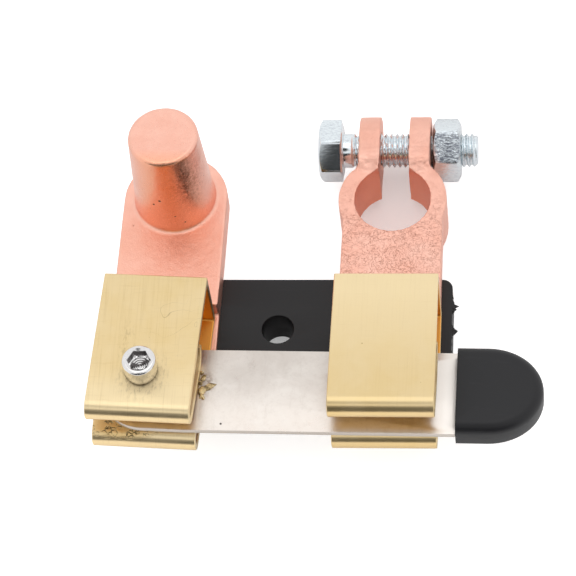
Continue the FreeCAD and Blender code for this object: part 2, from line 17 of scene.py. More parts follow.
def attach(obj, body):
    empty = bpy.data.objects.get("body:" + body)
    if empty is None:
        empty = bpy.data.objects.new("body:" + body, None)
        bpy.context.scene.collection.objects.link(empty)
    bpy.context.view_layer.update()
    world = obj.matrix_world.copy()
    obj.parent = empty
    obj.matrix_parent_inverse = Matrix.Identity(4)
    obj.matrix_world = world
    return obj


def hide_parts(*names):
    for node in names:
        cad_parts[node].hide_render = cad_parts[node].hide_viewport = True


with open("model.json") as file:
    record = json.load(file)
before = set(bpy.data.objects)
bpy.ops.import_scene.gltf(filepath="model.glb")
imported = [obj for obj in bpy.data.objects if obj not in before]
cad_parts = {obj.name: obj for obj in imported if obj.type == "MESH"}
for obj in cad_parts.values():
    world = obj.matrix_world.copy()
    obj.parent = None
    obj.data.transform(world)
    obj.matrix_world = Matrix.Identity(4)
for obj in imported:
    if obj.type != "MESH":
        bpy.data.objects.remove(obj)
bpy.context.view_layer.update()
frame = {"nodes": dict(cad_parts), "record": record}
MM = 0.001
NODES = frame["nodes"]
RECORD = frame["record"]
BODY_OF = {node: body for body, nodes in RECORD["behaviour"]["bodies"].items() for node in nodes}
SLOT_OF = {part["node"]: part["material_slot"] for part in RECORD["subparts"]}

# the photograph's camera, in metres
LENS = 174.6
SENSOR_WIDTH = 36.0
CAMERA_NEAR = 0.01
CAMERA_YAW = 10.9
CAMERA_HEIGHT_ANGLE = 57.74
CAMERA_ROLL = -9.22
CAMERA_DISTANCE = 0.63636
CAMERA_TARGET = Vector((0.0018, 0.0106, 0.010))

# the pivot, the clamp's ring and what the screw, the jaws and the blade share
PIVOT_X, PIVOT_Y = -26.9, -21.9
RING_X, RING_Y = 25.2, 31.5
JAW_TOP = 28.6
BLADE_MIDDLE = 19.9
BLADE_THICK = 1.5
BLADE_TOP = BLADE_MIDDLE + BLADE_THICK / 2


def linked(name, data):
    """A new object in the scene."""
    thing = bpy.data.objects.new(name, data)
    bpy.context.scene.collection.objects.link(thing)
    return thing


def place_camera():
    """Stand the camera where the photograph was taken from."""
    yaw, high, roll = (math.radians(angle) for angle in
                       (CAMERA_YAW, CAMERA_HEIGHT_ANGLE, CAMERA_ROLL))
    forward = Vector((-math.sin(yaw) * math.cos(high), math.cos(yaw) * math.cos(high),
                      -math.sin(high)))
    level = Vector((math.cos(yaw), math.sin(yaw), 0))
    up = level.cross(forward)
    right = math.cos(roll) * level + math.sin(roll) * up
    up = math.cos(roll) * up - math.sin(roll) * level
    data = bpy.data.cameras.new("camera")
    data.lens = LENS
    data.sensor_width = SENSOR_WIDTH
    data.clip_start = CAMERA_NEAR
    camera = linked("camera", data)
    axes = Matrix((right, up, -forward)).transposed().to_4x4()
    camera.matrix_world = Matrix.Translation(CAMERA_TARGET - CAMERA_DISTANCE * forward) @ axes
    bpy.context.scene.camera = camera


# materials

class Kit:
    """Short ways to add nodes to a tree."""

    def __init__(self, tree):
        self.nodes = tree.nodes
        self.links = tree.links

    def join(self, value, socket):
        """Feed a socket from another node, or set it to a plain value."""
        if isinstance(value, bpy.types.NodeSocket):
            self.links.new(value, socket)
        else:
            socket.default_value = value

    def node(self, kind, values, operation=None):
        """A new node with values at its inputs."""
        node = self.nodes.new("ShaderNode" + kind)
        if operation:
            node.operation = operation
        for name, value in values.items():
            self.join(value, node.inputs[name])
        return node

    def levels(self, value, low, high, out_low=0.0, out_high=1.0):
        """Stretch a value from one range to another, and stop at its ends."""
        values = {"Value": value, "From Min": low, "From Max": high,
                  "To Min": out_low, "To Max": out_high}
        return self.node("MapRange", values).outputs["Result"]

    def maths(self, kind, first, second):
        """The result of one kind of sum on two values."""
        return self.node("Math", {0: first, 1: second}, kind).outputs[0]

    def times(self, *values):
        """The product of several values."""
        product = values[0]
        for value in values[1:]:
            product = self.maths("MULTIPLY", product, value)
        return product

    def most(self, *values):
        """The largest of several values."""
        largest = values[0]
        for value in values[1:]:
            largest = self.maths("MAXIMUM", largest, value)
        return largest

    def distance(self, places, spot):
        """How far places are from a spot."""
        return self.node("VectorMath", {0: places, 1: spot}, "DISTANCE").outputs["Value"]

    def along(self, vector, unit, ranges):
        """The product of the levels between two places along each axis of a vector."""
        node = self.node("SeparateXYZ", {0: vector})
        return self.times(*[self.levels(node.outputs[axis], low * unit, high * unit, *outs)
                            for axis, (low, high, *outs) in ranges.items()])

    def camera_ray(self):
        """One for what the camera sees straight, and nothing for light and reflections."""
        return self.nodes.new("ShaderNodeLightPath").outputs["Is Camera Ray"]


class Shader(Kit):
    """A material with the object's places as its frame. Noises are scaled in 1 / metres."""

    def __init__(self, name, metallic=0.0, specular=0.5):
        self.material = bpy.data.materials.new(name)
        self.material.use_nodes = True
        super().__init__(self.material.node_tree)
        self.surface = self.nodes["Principled BSDF"]
        self.surface.inputs["Metallic"].default_value = metallic
        self.surface.inputs["Specular IOR Level"].default_value = specular
        self.places = self.nodes.new("ShaderNodeTexCoord").outputs["Object"]

    def within(self, **ranges):
        """A region: along each axis it grows from nothing at one place to one at the other."""
        return self.along(self.places, MM, ranges)

    def facing(self, **ranges):
        """The same over the direction in which the surface looks, from -1 to 1."""
        normal = self.nodes.new("ShaderNodeNewGeometry").outputs["Normal"]
        return self.along(normal, 1.0, ranges)

    def stretched(self, scale, turn=0.0):
        """The object's places, scaled by axis and turned about Z."""
        values = {"Vector": self.places, "Rotation": (0, 0, math.radians(turn)), "Scale": scale}
        return self.node("Mapping", values).outputs["Vector"]

    def cloud(self, scale, detail=3.0, roughness=0.55, places=None, distortion=0.0):
        """A noise."""
        values = {"Vector": places or self.places, "Scale": scale, "Detail": detail,
                  "Roughness": roughness, "Distortion": distortion}
        return self.node("TexNoise", values).outputs["Fac"]

    def patches(self, low, high, *settings):
        """Patches where a noise rises from one level to another."""
        return self.levels(self.cloud(*settings), low, high)

    def warped(self, reach, scale):
        """The object's places, pushed about by a noise up to a reach in metres."""
        noises = self.node("TexNoise", {"Vector": self.places, "Scale": scale}).outputs["Color"]
        pushed = {0: noises, 1: (reach, reach, reach), 2: self.places}
        return self.node("VectorMath", pushed, "MULTIPLY_ADD").outputs[0]

    def cells(self, scale, feature="F1", places=None):
        """Distances in a pattern of random cells."""
        node = self.node("TexVoronoi", {"Vector": places or self.places, "Scale": scale})
        node.feature = feature
        return node.outputs["Distance"]

    def veins(self, scale, width):
        """Thin winding lines."""
        middle = self.maths("SUBTRACT", self.cloud(scale, 2.0, 0.5, distortion=0.6), 0.5)
        return self.levels(self.maths("ABSOLUTE", middle, 0.0), 0.0, width, 1.0, 0.0)

    def near(self, spot, reach, squash=(1, 1, 1)):
        """One at a spot, falling to nothing at a reach that shrinks by axis."""
        scaled = [place * MM * share for place, share in zip(spot, squash)]
        return self.levels(self.distance(self.stretched(squash), scaled), reach * MM, 0.0)

    def mix(self, share, first, second):
        """A colour between two others."""
        node = self.nodes.new("ShaderNodeMix")
        node.data_type = "RGBA"
        self.join(share, node.inputs["Factor"])
        for value, name in ((first, "A"), (second, "B")):
            socket = [s for s in node.inputs if s.name == name and s.type == "RGBA"][0]
            self.join(value if isinstance(value, bpy.types.NodeSocket) else (*value, 1.0), socket)
        return [s for s in node.outputs if s.type == "RGBA"][0]

    def bump(self, height, depth, strength=1.0, under=None):
        """A bump of a depth in metres, over another one."""
        values = {"Height": height, "Distance": depth, "Strength": strength}
        if under:
            values["Normal"] = under
        return self.node("Bump", values).outputs["Normal"]

    def finish(self, colour, roughness=None, normal=None):
        """Join what was made to the surface."""
        for value, name in ((colour, "Base Color"), (roughness, "Roughness"), (normal, "Normal")):
            if value is not None:
                self.join(value, self.surface.inputs[name])
        return self.material


COPPER = (0.92, 0.495, 0.385)
COPPER_PALE = (0.96, 0.56, 0.45)
COPPER_REFLECTION_RED = (1.0, 0.47, 0.29)
COPPER_BORE_REFLECTION = (1.0, 0.44, 0.30)
COPPER_DARK = (0.50, 0.17, 0.10)
PIT_BLACK = (0.04, 0.015, 0.01)
BRASS = (0.83, 0.64, 0.335)
BRASS_PALE = (0.88, 0.70, 0.405)
BRASS_DARK = (0.42, 0.27, 0.08)
BRASS_BRIGHT = (0.97, 0.80, 0.50)
BRASS_UNDER_SHADE = (0.78, 0.47, 0.15)
BRASS_INSIDE_REFLECTION = (1.0, 0.50, 0.11)
BRASS_WORN = (0.80, 0.50, 0.13)
CRACK_GAP_SHADOW = (0.05, 0.03, 0.01)
GRIME = (0.16, 0.11, 0.05)
NICKEL = (0.65, 0.59, 0.54)
NICKEL_PALE = (0.78, 0.73, 0.68)
NICKEL_DARK = (0.50, 0.44, 0.39)
NICKEL_BRIGHT = (0.90, 0.85, 0.80)
DIRT = (0.20, 0.12, 0.06)
SPECK_BLACK = (0.05, 0.04, 0.04)
ZINC = (0.80, 0.86, 0.89)
ZINC_DARK = (0.64, 0.69, 0.74)
NUT_FACE_DARK_REFLECTION = (0.13, 0.14, 0.18)
CHROME = (0.72, 0.71, 0.71)
CHROME_PALE = (0.82, 0.81, 0.81)
SOCKET_SHADE_BLACK = (0.07, 0.06, 0.06)
PLATE_BLACK = (0.010, 0.009, 0.010)
HANDLE_BLACK = (0.012, 0.012, 0.014)

# marks by their middles, and the pits with their radii
POST_PITS = ((-26.64, 23.17, 26.85, 0.5), (-28.24, 23.54, 24.98, 0.42),
             (-23.72, 22.76, 21.16, 0.3), (-21.71, 23.1, 18.38, 0.3))
POST_SMUDGE = (-19.8, 25.0, 31.5)
ARM_STAIN = (-22.9, 18.0, 15.4)
SCREW_GRIME = (-26.5, -23.0, 29)
JAW_SCRAPE = (-30.5, -16.5, 29)
JAW_HAIRS = (-20.0, -10.5, 29)
FLAKES_MIDDLE = (-14.0, -21.0, 21)
WORN_FOLD = (-32.0, -29.3, 17.6)
BLADE_DOT = (-9.77, -30.71, BLADE_TOP)
BLADE_DIRT = (-13.9, -20.8, BLADE_TOP)


def copper_cast():
    """Sand-cast metal with copper plating: grain, shallow dents, pits and pale patches."""
    make = Shader("copper_cast", metallic=1.0)
    grain = make.cloud(2600, 3, 0.7)
    colour = make.mix(make.patches(0.35, 0.7, 160, 4), COPPER, COPPER_PALE)
    # the post is smoother, and its front is painted redder: a painted reflection
    post = make.within(X=(-11, -13), Z=(15.2, 16.5))
    front = make.times(post, make.within(Y=(28, 24)))
    colour = make.mix(make.times(front, 0.85), colour, COPPER_REFLECTION_RED)
    pits = make.times(make.levels(make.cells(420), 0.10, 0.02), make.patches(0.60, 0.66, 230, 2))
    colour = make.mix(make.times(pits, 0.6), colour, COPPER_DARK)
    smudge = make.times(make.near(POST_SMUDGE, 9.0, (1.6, 1.6, 0.8)),
                        make.patches(0.46, 0.56, 1500, 3, 0.75))
    stain = make.times(make.near(ARM_STAIN, 5.0), make.patches(0.38, 0.60, 700, 4, 0.7))
    dull = make.most(make.times(smudge, 0.85), make.times(stain, 0.36))
    colour = make.mix(dull, colour, COPPER_DARK)
    holes = make.levels(make.most(*[make.near(pit[:3], pit[3]) for pit in POST_PITS]), 0.2, 0.6)
    colour = make.mix(holes, colour, PIT_BLACK)
    # fine cracks in the casting's skin, plainest on the clamp's arm
    on_arm = make.within(X=(12, 14), Y=(34, 22, 0.35, 1.0))
    cracks = make.times(make.most(make.veins(620, 0.014), make.veins(1200, 0.02)),
                        make.patches(0.30, 0.50, 300, 3), make.most(on_arm, 0.12))
    colour = make.mix(make.times(cracks, 0.22), colour, COPPER_DARK)
    # painted reflection: the ring's bore is painted a deeper red, as copper that reflects itself
    bore = make.times(make.levels(make.near((RING_X, RING_Y, 0), 10.0, (1, 1, 0)), 0.08, 0.12),
                      make.within(Z=(15.4, 15.0)))
    colour = make.mix(make.times(bore, 0.9), colour, COPPER_BORE_REFLECTION)
    normal = make.bump(make.times(grain, make.levels(post, 0.0, 1.0, 1.0, 0.1)), 0.00007)
    normal = make.bump(make.cloud(520, 4, 0.65), 0.00013, 0.8, under=normal)
    sunk = make.most(make.times(cracks, 0.42), pits, holes)
    normal = make.bump(make.times(sunk, -1.0), 0.00022, 1.0, under=normal)
    rough = make.maths("SUBTRACT", make.levels(grain, 0.3, 0.7, 0.36, 0.44),
                       make.times(post, 0.10))
    return make.finish(colour, rough, normal)


def brass_strip():
    """Rolled strip: fine scratches along Y, dull specks, a worn lower fold and deeper marks."""
    make = Shader("brass_strip", metallic=1.0)
    brushed = make.nodes.new("ShaderNodeTangent")
    brushed.direction_type = "RADIAL"
    brushed.axis = "X"
    make.join(brushed.outputs[0], make.surface.inputs["Tangent"])
    make.surface.inputs["Anisotropic"].default_value = 0.9
    make.surface.inputs["Anisotropic Rotation"].default_value = 0.25
    lines = make.cloud(1.0, 3, 0.7, make.stretched((2700, 60, 300)))
    crossed = make.cloud(1.0, 3, 0.7, make.stretched((130, 2300, 400), 12))
    blotch = make.cloud(110, 4, 0.6, distortion=0.3)
    # both jaws are painted brighter: the hinge jaw at its front, the contact jaw towards its rear
    brightened = make.most(make.within(X=(2, -2), Y=(-20, -27)), make.within(X=(-2, 2), Y=(-22, -2)))
    colour = make.mix(make.levels(blotch, 0.35, 0.65), BRASS, BRASS_PALE)
    colour = make.mix(make.times(brightened, 0.8), colour, BRASS_BRIGHT)
    # the hinge jaw is scored more
    scored = make.within(X=(2, -2, 0.35, 1.0))
    for score in (make.levels(lines, 0.52, 0.78, 0.0, 0.22),
                  make.levels(crossed, 0.58, 0.80, 0.0, 0.20)):
        colour = make.mix(make.times(scored, score), colour, BRASS_DARK)
    specks = make.times(make.levels(make.cells(300), 0.07, 0.02),
                        make.patches(0.54, 0.60, 180, 2))
    colour = make.mix(make.times(specks, 0.7), colour, BRASS_DARK)
    # grime round the pivot screw, a scrape to its left and fine hairs
    grime = make.times(make.most(make.times(make.near(SCREW_GRIME, 7.0, (1, 0.9, 1)), 0.8),
                                 make.times(make.near(JAW_SCRAPE, 5.0, (2.2, 0.6, 1)), 0.5),
                                 make.near(FLAKES_MIDDLE, 3.2)),
                       make.patches(0.50, 0.64, 1500, 3, 0.65, make.stretched((1, 0.4, 1))))
    crumbs = make.times(make.levels(make.near(FLAKES_MIDDLE, 4.0), 0.0, 0.3),
                        make.patches(0.40, 0.56, 700, 3), make.within(Z=(20.4, 20.7)),
                        make.within(Z=(21.6, 21.3)))
    hairs = make.times(make.veins(120, 0.003), make.near(JAW_HAIRS, 9.0), 1.5)
    dark = make.most(make.times(grime, 0.75), make.times(hairs, 0.45), make.times(crumbs, 0.85))
    colour = make.mix(dark, colour, GRIME)
    # painted reflection and shade: deeper orange on the floor between the leaves and on the rear
    # wall's inside, painted shade on the leaves' undersides and on the folds' fronts
    under = make.times(make.facing(Z=(-0.2, -0.4)), make.within(Z=(12.5, 13.5)))
    over = make.times(make.facing(Z=(0.2, 0.4)), make.within(Z=(20.0, 19.5), Y=(-27.5, -26.5)))
    rear_wall_reflection = make.times(make.facing(Y=(-0.3, -0.6)), make.within(Y=(-2, -1)))
    fold_front_shade = make.times(make.facing(Y=(-0.55, -0.90)), make.within(Y=(-30, -31)))
    colour = make.mix(make.most(over, rear_wall_reflection), colour, BRASS_INSIDE_REFLECTION)
    colour = make.mix(under, colour, BRASS_UNDER_SHADE)
    colour = make.mix(make.times(fold_front_shade, 0.22), colour, BRASS_UNDER_SHADE)
    # the hinge jaw's lower fold, scraped by the blade's end
    worn = make.levels(make.near(WORN_FOLD, 7.5, (0.7, 1.6, 2.0)), 0.10, 0.45)
    shards = make.cells(1000, "DISTANCE_TO_EDGE", make.warped(0.0007, 1200))
    # the black cracks are bumped in as cracks and painted black as the shadow in the gap behind
    # the fold's ragged edge
    cracks = make.times(make.levels(shards, 0.09, 0.02), make.patches(0.46, 0.54, 420, 3), worn,
                        make.within(Z=(15.2, 16.0)))
    colour = make.mix(make.times(worn, 0.5), colour, BRASS_WORN)
    colour = make.mix(make.times(cracks, 0.9), colour, CRACK_GAP_SHADOW)
    normal = make.bump(lines, 0.000012)
    normal = make.bump(make.cloud(260, 3), 0.00005, 0.6, under=normal)
    normal = make.bump(make.times(make.cloud(1700, 3, 0.7), worn), 0.00010, 0.9, under=normal)
    normal = make.bump(make.times(cracks, -1.0), 0.00015, 1.0, under=normal)
    return make.finish(colour, make.levels(blotch, 0.3, 0.7, 0.34, 0.42), normal)


def nickel_blade():
    """Worn nickel plating: warm blotches, wiped streaks, a black dot and scraped dirt."""
    make = Shader("nickel_blade", metallic=1.0)
    blotch = make.cloud(130, 4, 0.6, distortion=0.4)
    streak = make.cloud(1.0, 3, 0.6, make.stretched((700, 120, 700), 35))
    colour = make.mix(make.levels(blotch, 0.3, 0.7), NICKEL, NICKEL_PALE)
    for worn in (make.levels(streak, 0.60, 0.85, 0.0, 0.4),
                 make.levels(make.cloud(850, 4, 0.7), 0.50, 0.72, 0.0, 0.24)):
        colour = make.mix(worn, colour, NICKEL_DARK)
    colour = make.mix(make.within(X=(34, 39, 0.0, 0.8)), colour, NICKEL_BRIGHT)
    # painted shade: the front-facing edge is painted darker than the faces
    colour = make.mix(make.facing(Y=(-0.50, -0.80, 0.0, 0.65)), colour, NICKEL_DARK)
    dirt = make.times(make.near(BLADE_DIRT, 4.2, (1.5, 1, 1)),
                      make.patches(0.42, 0.60, 900, 3, 0.6))
    colour = make.mix(make.times(dirt, 0.9), colour, DIRT)
    specks = make.times(make.levels(make.cells(330), 0.05, 0.02),
                        make.patches(0.60, 0.66, 150, 2))
    dot = make.levels(make.near(BLADE_DOT, 0.4), 0.2, 0.6)
    colour = make.mix(make.most(specks, dot), colour, SPECK_BLACK)
    normal = make.bump(make.cloud(3000, 2), 0.00002)
    normal = make.bump(streak, 0.00003, 0.5, under=normal)
    return make.finish(colour, make.levels(blotch, 0.3, 0.7, 0.26, 0.40), normal)


def zinc_plate():
    """Bright zinc plating over rough forged flats."""
    make = Shader("zinc_plate", metallic=1.0)
    mottle = make.cloud(1.0, 4, 0.65, make.stretched((1100, 2000, 2000)), 0.5)
    colour = make.mix(make.levels(mottle, 0.30, 0.55), ZINC_DARK, ZINC)
    # a mottled painted reflection, dark, on the nut's upper front flat
    marks = make.cloud(1.0, 4, 0.7, make.stretched((900, 2600, 2600)), 0.6)
    marks = make.times(make.levels(marks, 0.62, 0.40), make.within(X=(33.8, 34.5)),
                       make.within(X=(40.5, 40.1), Y=(49.4, 49.1), Z=(12.7, 13.1)))
    colour = make.mix(make.times(marks, 0.95), colour, NUT_FACE_DARK_REFLECTION)
    # the bolt's head is smoother than the nut
    rough = make.times(mottle, make.within(X=(20, 30, 0.13, 1.0)))
    return make.finish(colour, make.levels(mottle, 0.3, 0.7, 0.16, 0.10),
                       make.bump(rough, 0.00014, 0.9))


def bright_nickel():
    """The socket screw's smooth plating, with painted shade in the socket and at the head's foot.
    """
    make = Shader("bright_nickel", metallic=1.0)
    haze = make.cloud(900, 3)
    middle = make.near((PIVOT_X, PIVOT_Y, 0), 4.0, (1, 1, 0))
    # painted shade on the socket's walls and round the head's foot, where it meets the jaw
    wall = make.times(make.levels(middle, 0.27, 0.30), make.within(Z=(30.8, 31.2)),
                      make.within(Z=(32.9, 32.6)))
    foot = make.times(make.levels(middle, 0.22, 0.18), make.within(Z=(29.8, 28.8)))
    colour = make.mix(make.most(make.times(wall, 0.94), make.times(foot, 0.7)),
                      make.mix(haze, CHROME, CHROME_PALE), SOCKET_SHADE_BLACK)
    return make.finish(colour, make.levels(haze, 0.3, 0.7, 0.10, 0.20), make.bump(haze, 0.00001))


def moulded(name, black):
    """Dull moulded plastic with a fine skin and a few scuffs."""
    make = Shader(name, specular=0.36)
    scuff = make.patches(0.60, 0.74, 1.0, 3, 0.6, make.stretched((90, 520, 300), 20))
    pale = tuple(channel * 2.0 for channel in black)
    colour = make.mix(make.times(scuff, 0.6), black, pale)
    return make.finish(colour, make.levels(scuff, 0.0, 1.0, 0.42, 0.56),
                       make.bump(make.cloud(5200, 2), 0.00002, 0.6))


MATERIALS = {
    "cast_copper": copper_cast(), "jaw_brass": brass_strip(), "blade_nickel": nickel_blade(),
    "zinc_steel": zinc_plate(), "screw_nickel": bright_nickel(),
    "plate_plastic": moulded("plate_plastic", PLATE_BLACK),
    "handle_plastic": moulded("handle_plastic", HANDLE_BLACK),
}


# ways to make pieces

SMOOTH_ANGLE = 32.0
CREASE_ANGLE = 35.0
ROD_SIDES = 48


def new_object(name, form):
    """A linked object with a bmesh's faces."""
    data = bpy.data.meshes.new(name)
    form.normal_update()
    form.to_mesh(data)
    form.free()
    return linked(name, data)


def applied(piece, modifier):
    """Put a modifier's result into the piece's mesh."""
    shaped = piece.evaluated_get(bpy.context.evaluated_depsgraph_get())
    data = bpy.data.meshes.new_from_object(shaped)
    piece.modifiers.remove(modifier)
    piece.data = data


def cut_away(piece, form):
    """Take one closed form out of a piece."""
    tool = new_object("tool", form)
    modifier = piece.modifiers.new("cut", "BOOLEAN")
    modifier.operation = "DIFFERENCE"
    modifier.solver = "EXACT"
    modifier.object = tool
    applied(piece, modifier)
    bpy.data.objects.remove(tool)


def dress(piece, body, slot, smooth_angle):
    """Give a piece its body, its slot, its finish and its smooth faces."""
    data = piece.data
    data.materials.clear()
    data.materials.append(MATERIALS[slot])
    data.polygons.foreach_set("use_smooth", [True] * len(data.polygons))
    data.set_sharp_from_angle(angle=math.radians(smooth_angle))
    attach(piece, body)


def stand_in(name, form, node, smooth_angle=SMOOTH_ANGLE):
    """A piece that stands for one CAD node, from a form or an object."""
    piece = new_object(name, form) if isinstance(form, bmesh.types.BMesh) else form
    dress(piece, BODY_OF[node], SLOT_OF[node], smooth_angle)
    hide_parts(node)


def soften(form, width, crease=CREASE_ANGLE):
    """Round the form's edges."""
    edges = [edge for edge in form.edges
             if len(edge.link_faces) == 2 and edge.calc_face_angle(0.0) > math.radians(crease)]
    bmesh.ops.bevel(form, geom=edges, offset=width * MM, offset_type="OFFSET", segments=3,
                    profile=0.5, affect="EDGES", clamp_overlap=True)
    return form


def add_skin(form, rings, loop=False, rise=0.0):
    """Add a skin through rings of points: a loop, or with closed ends and the last one raised."""
    layers = [[form.verts.new(point) for point in ring] for ring in rings]
    pairs = list(zip(layers, layers[1:])) + ([(layers[-1], layers[0])] if loop else [])
    count = len(layers[0])
    for lower, upper in pairs:
        for n in range(count):
            form.faces.new((lower[n], lower[(n + 1) % count], upper[(n + 1) % count], upper[n]))
    for ring, lift in ([] if loop else [(layers[0][::-1], 0.0), (layers[-1], rise)]):
        middle = sum((vert.co for vert in ring), Vector()) / count
        centre = form.verts.new(middle + Vector((0, 0, lift * MM)))
        for n in range(count):
            form.faces.new((ring[n], ring[(n + 1) % count], centre))


def skin(rings, loop=False):
    """A closed form through rings of points."""
    form = bmesh.new()
    add_skin(form, rings, loop)
    bmesh.ops.recalc_face_normals(form, faces=form.faces)
    return form


def rod(centre, radius, length):
    """A closed cylinder upwards from a point."""
    rings = []
    for along in (0.0, length * MM):
        ring = []
        for n in range(ROD_SIDES):
            angle = math.tau * n / ROD_SIDES
            offset = (radius * MM * math.cos(angle), radius * MM * math.sin(angle), along)
            ring.append(Vector(centre) * MM + Vector(offset))
        rings.append(ring)
    return skin(rings)


# hexagons and threads

# degrees from the middle of a flat, closest at its two corners
HEX_STEPS = (-28.9, -24.0, -18.0, -12.0, -6.0, 0.0, 6.0, 12.0, 18.0, 24.0, 28.9)
RINGS_PER_TURN = 10
# shares of the pitch: half of the crest's flat, and one flank
THREAD_CREST = 0.125
THREAD_FLANK = 0.625


def hex_angles(turn):
    """Angles round a hexagon in radians, with its corners just turned off."""
    return [math.radians(turn + 30 + 60 * side + step) for side in range(6) for step in HEX_STEPS]


def hex_radius(flats, turn, angle):
    """How far a hexagon's outline is from its middle at an angle."""
    step = (math.degrees(angle) - turn) % 60.0 - 30.0
    return flats / 2 / math.cos(math.radians(step))


def thread_radius(along, angle, crest, depth, pitch):
    """A screw thread's radius at a place along it."""
    turn = (along / pitch - angle / math.tau) % 1.0
    slope = min(max((abs(turn - 0.5) * 2 - THREAD_CREST) / THREAD_FLANK, 0.0), 1.0)
    return crest - depth * slope


# the clamp's bolt and nut

BOLT_Y, BOLT_Z = 49.1, 9.05
BOLT_FLATS = 13.0
BOLT_RADIUS = 4.0
BOLT_PITCH = 1.25
BOLT_DEPTH = 0.60
BOLT_TIP = 44.35
TIP_RADIUS = 3.15
TIP_SLOPE = 0.9
HEAD_OUT, HEAD_IN = 7.3, 12.8
HEAD_TURN = 17.0
# from the head's inner face, with radii: the raised face under the head and the neck
HEAD_FACE = ((-0.20, 6.2), (-0.15, 6.15), (0.0, 6.0), (0.0, 4.3), (0.15, 3.98))
NECK_END, THREAD_FULL = 2.0, 3.2
NUT_IN, NUT_OUT = 33.95, 40.45
NUT_TURN = -2.0
NUT_BORE = 4.06
NUT_MOUTH = 4.5
NUT_SINK = 0.45
CORNER_FACE = 6.1
CORNER_SLOPE = 30.0


def on_bolt(along, angle, radius):
    """A point round the bolt's axis; the angle runs from straight up to the front."""
    return Vector((along, BOLT_Y - radius * math.sin(angle),
                   BOLT_Z + radius * math.cos(angle))) * MM


def hex_end(face, outward, angles, turn):
    """Rings of a hexagon's end with its corners turned off, from the face inwards."""
    def ring(offset, radius_of):
        return [on_bolt(face - outward * offset(angle), angle, radius_of(angle))
                for angle in angles]

    def full(angle):
        return hex_radius(BOLT_FLATS, turn, angle)

    def slope(angle):
        return max(full(angle) - CORNER_FACE, 0.0) * math.tan(math.radians(CORNER_SLOPE))

    return [ring(lambda angle: 0.0, lambda angle: CORNER_FACE - 0.15),
            ring(lambda angle: 0.04, lambda angle: CORNER_FACE),
            ring(slope, lambda angle: full(angle) - 0.05),
            ring(lambda angle: slope(angle) + 0.12, full)]


def clamp_bolt():
    """The clamp's bolt: hexagon head, plain neck, rolled thread and turned end."""
    angles = hex_angles(HEAD_TURN)
    full = [hex_radius(BOLT_FLATS, HEAD_TURN, angle) for angle in angles]

    def ring(along, radii):
        return [on_bolt(along, angle, radius) for angle, radius in zip(angles, radii)]

    rings = hex_end(HEAD_OUT, -1, angles, HEAD_TURN)
    rings += [ring(HEAD_IN - 0.35, full),
              ring(HEAD_IN - 0.22, [radius - 0.12 for radius in full])]
    rings += [ring(HEAD_IN + along, [radius] * len(angles)) for along, radius in HEAD_FACE]
    plain_end, full_thread = HEAD_IN + NECK_END, HEAD_IN + THREAD_FULL
    steps = int((BOLT_TIP - plain_end) / BOLT_PITCH * RINGS_PER_TURN)
    for n in range(steps + 1):
        along = plain_end + (BOLT_TIP - plain_end) * n / steps
        depth = BOLT_DEPTH * min((along - plain_end) / (full_thread - plain_end), 1.0)
        tip = min(BOLT_RADIUS, TIP_RADIUS + (BOLT_TIP - along) * TIP_SLOPE)
        rings.append(ring(along, [min(thread_radius(along, angle, BOLT_RADIUS, depth, BOLT_PITCH),
                                      tip) for angle in angles]))
    stand_in("clamp_bolt_threaded", skin(rings), "clamp_bolt")


def clamp_nut():
    """The clamp's nut, with both ends turned and a countersunk bore."""
    angles = hex_angles(NUT_TURN)
    rings = hex_end(NUT_IN, -1, angles, NUT_TURN) + hex_end(NUT_OUT, 1, angles, NUT_TURN)[::-1]
    rings += [[on_bolt(along, angle, radius) for angle in angles] for along, radius in
              ((NUT_OUT, NUT_MOUTH), (NUT_OUT - NUT_SINK, NUT_BORE),
               (NUT_IN + NUT_SINK, NUT_BORE), (NUT_IN, NUT_MOUTH))]
    stand_in("clamp_nut_turned", skin(rings, loop=True), "clamp_nut")


# the socket screw

SCREW_LOW, SCREW_TOP = 5.0, 33.2
SCREW_RADIUS = 2.5
SCREW_PITCH = 0.8
SCREW_DEPTH = 0.42
SCREW_END = 1.95
THREAD_TOP = 11.0
SCREW_HEAD = 3.75
SCREW_RIM = 0.65
SOCKET_FLATS = 4.6
SOCKET_DEPTH = 2.6
SOCKET_MOUTH = 2.77
SOCKET_FLOOR = 2.12
SWIRLS = 9
SCREW_SMOOTH_ANGLE = 28.0


